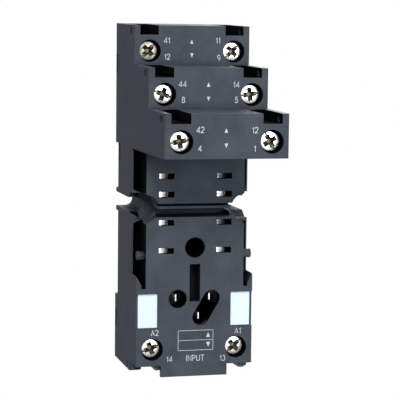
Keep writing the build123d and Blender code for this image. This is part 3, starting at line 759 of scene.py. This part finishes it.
# Front face, words with the middle of each, and arrows with the middle and way of each
PRINTS = {
    "print_tier_top": (
        TIER_Y[0],
        [("41", -5.82, 42.05), ("12", -5.78, 38.38), ("11", 6.01, 42.13), ("9", 6.22, 38.26)],
        [(-0.11, 41.84, UP), (-0.05, 38.78, DOWN)],
    ),
    "print_tier_middle": (
        TIER_Y[1],
        [("44", -5.82, 32.82), ("8", -5.65, 29.40), ("14", 6.16, 32.73), ("5", 6.21, 29.41)],
        [(-0.08, 32.71, UP), (-0.04, 29.62, DOWN)],
    ),
    "print_tier_front": (
        TIER_Y[2],
        [("42", -5.80, 23.90), ("4", -5.84, 20.08), ("12", 5.95, 23.79), ("1", 5.97, 19.91)],
        [(-0.26, 23.75, UP), (-0.20, 20.58, DOWN)],
    ),
    "print_lower": (
        SEAT_Y,
        [("A2", -9.21, -23.43), ("A1", 10.22, -23.59), ("14", -5.75, -29.59), ("13", 6.66, -29.78)],
        [],
    ),
}
ARROW_SIZE = (0.74, 0.94)
COIL_WORD = ("INPUT", 0.27, -29.5, 1.34, 0.97)
# Left, right, foot, top, middle line and line width of the coil side's frame, and its two arrows
COIL_FRAME = (-3.80, 4.45, -27.75, -23.10, -25.40, 0.11)
COIL_ARROWS = ((3.24, -24.24, UP), (3.27, -26.47, DOWN))
COIL_ARROW_SIZE = (0.95, 1.1)


def ribbon(points, half):
    """A stroke of width 2 * half along the points, with mitred corners, as a list of quads."""
    sides = []
    for k, (x, z) in enumerate(points):
        before = points[max(k - 1, 0)]
        after = points[min(k + 1, len(points) - 1)]
        d0 = Vector((x - before[0], z - before[1]))
        d1 = Vector((after[0] - x, after[1] - z))
        d0 = (d0 if d0.length > 1e-6 else d1).normalized()
        d1 = (d1 if d1.length > 1e-6 else d0).normalized()
        n = Vector((-d0.y - d1.y, d0.x + d1.x)).normalized()
        reach = half / max(MITRE_LIMIT, n.dot(Vector((-d0.y, d0.x))))
        sides.append(((x + n.x * reach, z + n.y * reach), (x - n.x * reach, z - n.y * reach)))
    return [(a0, b0, b1, a1) for (a0, b0), (a1, b1) in zip(sides, sides[1:])]


class Print:
    """Printed figures on one front face at depth y, gathered into one thin piece."""

    def __init__(self, name, y):
        self.name = name
        self.y = y
        self.bm = bmesh.new()

    def shape(self, points):
        verts = [self.bm.verts.new((x * MM, self.y * MM, z * MM)) for x, z in points]
        self.bm.faces.new(verts)

    def text(self, text, x, z, height=SIGN_HEIGHT, squeeze=SIGN_SQUEEZE):
        """A line of signs centred on x, z."""
        wide = sum(SIGNS[sign][0] for sign in text) + SIGN_GAP * (len(text) - 1)
        at = -wide / 2
        for sign in text:
            for line in SIGNS[sign][1]:
                points = [(x + (at + px) * height * squeeze, z + (pz - 0.5) * height) for px, pz in line]
                for quad in ribbon(points, STROKE / 2):
                    self.shape(quad)
            at += SIGNS[sign][0] + SIGN_GAP

    def arrow(self, x, z, up, size=ARROW_SIZE):
        half_wide = size[0] / 2
        half_high = size[1] / 2 if up else -size[1] / 2
        self.shape([(x - half_wide, z - half_high), (x + half_wide, z - half_high), (x, z + half_high)])

    def bar(self, x0, x1, z0, z1):
        self.shape([(x0, z0), (x1, z0), (x1, z1), (x0, z1)])

    def done(self):
        """Gives the figures their thickness and puts them on the socket's body."""
        bm = self.bm
        bmesh.ops.recalc_face_normals(bm, faces=bm.faces)
        for face in bm.faces:
            if face.normal.y > 0:
                face.normal_flip()
        grown = bmesh.ops.extrude_face_region(bm, geom=bm.faces[:])
        moved = [part for part in grown["geom"] if isinstance(part, bmesh.types.BMVert)]
        bmesh.ops.translate(bm, verts=moved, vec=(0, -INK_HIGH * MM, 0))
        bmesh.ops.recalc_face_normals(bm, faces=bm.faces)
        mesh = bpy.data.meshes.new(self.name)
        bm.to_mesh(mesh)
        bm.free()
        mesh.materials.append(ink)
        obj = put(self.name, mesh)
        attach(obj, "socket_body")


def print_coil_legend(page):
    """The word for the coil side, and the frame of two rows with an arrow in each."""
    page.text(*COIL_WORD)
    x0, x1, z0, z1, middle, line = COIL_FRAME
    page.bar(x0, x1, z1 - line, z1)
    page.bar(x0, x1, z0, z0 + line)
    page.bar(x0, x1, middle - line / 2, middle + line / 2)
    page.bar(x0, x0 + line, z0, z1)
    page.bar(x1 - line, x1, z0, z1)
    for x, z, way in COIL_ARROWS:
        page.arrow(x, z, way, COIL_ARROW_SIZE)


def add_prints():
    for name, (y, words, arrows) in PRINTS.items():
        page = Print(name, y)
        for text, x, z in words:
            page.text(text, x, z)
        for x, z, way in arrows:
            page.arrow(x, z, way)
        if name == "print_lower":
            print_coil_legend(page)
        page.done()


# Floor, backdrop and light
FLOOR_HALF = 2.0
FLOOR_CELLS = 4
FLOOR_Z = -0.06
FLOOR_GREY = 0.25
WORLD_COLOUR = (0.92, 0.96, 1.0, 1)
WORLD_STRENGTH = 0.02
WHITE = (1, 1, 1, 1)
LIGHT_TARGET = (0, -0.02, 0.005)
# Name, place, size, power and colour of each lamp
LIGHTS = [
    ("key", (-0.24, -0.70, 0.46), (0.30, 0.30), 6.0, (0.98, 0.99, 1.0)),
    ("front_mid", (0.30, -0.74, 0.0), (0.30, 0.22), 1.9, (0.95, 0.97, 1.0)),
    ("front_high", (0.24, -0.77, 0.12), (0.36, 0.20), 2.1, (0.96, 0.97, 1.0)),
    ("top", (0.0, -0.15, 0.80), (0.40, 0.40), 1.4, (1.0, 1.0, 1.0)),
    ("rear", (0.34, 0.56, 0.30), (0.40, 0.40), 1.9, (0.96, 0.98, 1.0)),
]


def seen_rays(tree):
    """1 for camera, glossy and transmission rays, so that metal shows the same white background."""
    path = tree.nodes.new("ShaderNodeLightPath")
    value = path.outputs["Is Camera Ray"]
    for kind in ("Is Glossy Ray", "Is Transmission Ray"):
        either = tree.nodes.new("ShaderNodeMath")
        either.operation = "MAXIMUM"
        tree.links.new(value, either.inputs[0])
        tree.links.new(path.outputs[kind], either.inputs[1])
        value = either.outputs["Value"]
    return value


def white_where_seen(holder, output_kind, lit_kind, lit_settings, seen_kind):
    """White for the rays that are seen, and for all others a shader with the given settings."""
    holder.use_nodes = True
    tree = holder.node_tree
    tree.nodes.clear()
    output = tree.nodes.new(output_kind)
    mix = tree.nodes.new("ShaderNodeMixShader")
    lit = tree.nodes.new(lit_kind)
    for key, value in lit_settings.items():
        lit.inputs[key].default_value = value
    seen = tree.nodes.new(seen_kind)
    seen.inputs["Color"].default_value = WHITE
    seen.inputs["Strength"].default_value = 1.0
    tree.links.new(seen_rays(tree), mix.inputs["Fac"])
    tree.links.new(lit.outputs[0], mix.inputs[1])
    tree.links.new(seen.outputs[0], mix.inputs[2])
    tree.links.new(mix.outputs["Shader"], output.inputs["Surface"])


def add_floor():
    bm = bmesh.new()
    bmesh.ops.create_grid(bm, x_segments=FLOOR_CELLS, y_segments=FLOOR_CELLS, size=FLOOR_HALF)
    bmesh.ops.translate(bm, verts=bm.verts, vec=(0, 0, FLOOR_Z))
    mesh = bpy.data.meshes.new("floor")
    bm.to_mesh(mesh)
    bm.free()
    floor = put("floor", mesh)
    white = bpy.data.materials.new("floor_white")
    settings = {"Color": (FLOOR_GREY, FLOOR_GREY, FLOOR_GREY, 1)}
    white_where_seen(white, "ShaderNodeOutputMaterial", "ShaderNodeBsdfDiffuse", settings,
                     "ShaderNodeEmission")
    mesh.materials.append(white)


def add_world():
    world = bpy.data.worlds.new("studio")
    scene.world = world
    settings = {"Color": WORLD_COLOUR, "Strength": WORLD_STRENGTH}
    white_where_seen(world, "ShaderNodeOutputWorld", "ShaderNodeBackground", settings,
                     "ShaderNodeBackground")


def add_lights():
    for name, place, size, power, colour in LIGHTS:
        data = bpy.data.lights.new(name, "AREA")
        data.shape = "RECTANGLE"
        data.size, data.size_y = size
        data.energy = power
        data.color = colour
        lamp = put(name, data)
        lamp.location = place
        aim = Vector(LIGHT_TARGET) - Vector(place)
        lamp.rotation_euler = aim.to_track_quat("-Z", "Y").to_euler()


scene.view_settings.view_transform = "Standard"
add_camera()
finish_nodes()
finish_housing()
add_screws()
add_spring()
add_prints()
add_floor()
add_world()
add_lights()
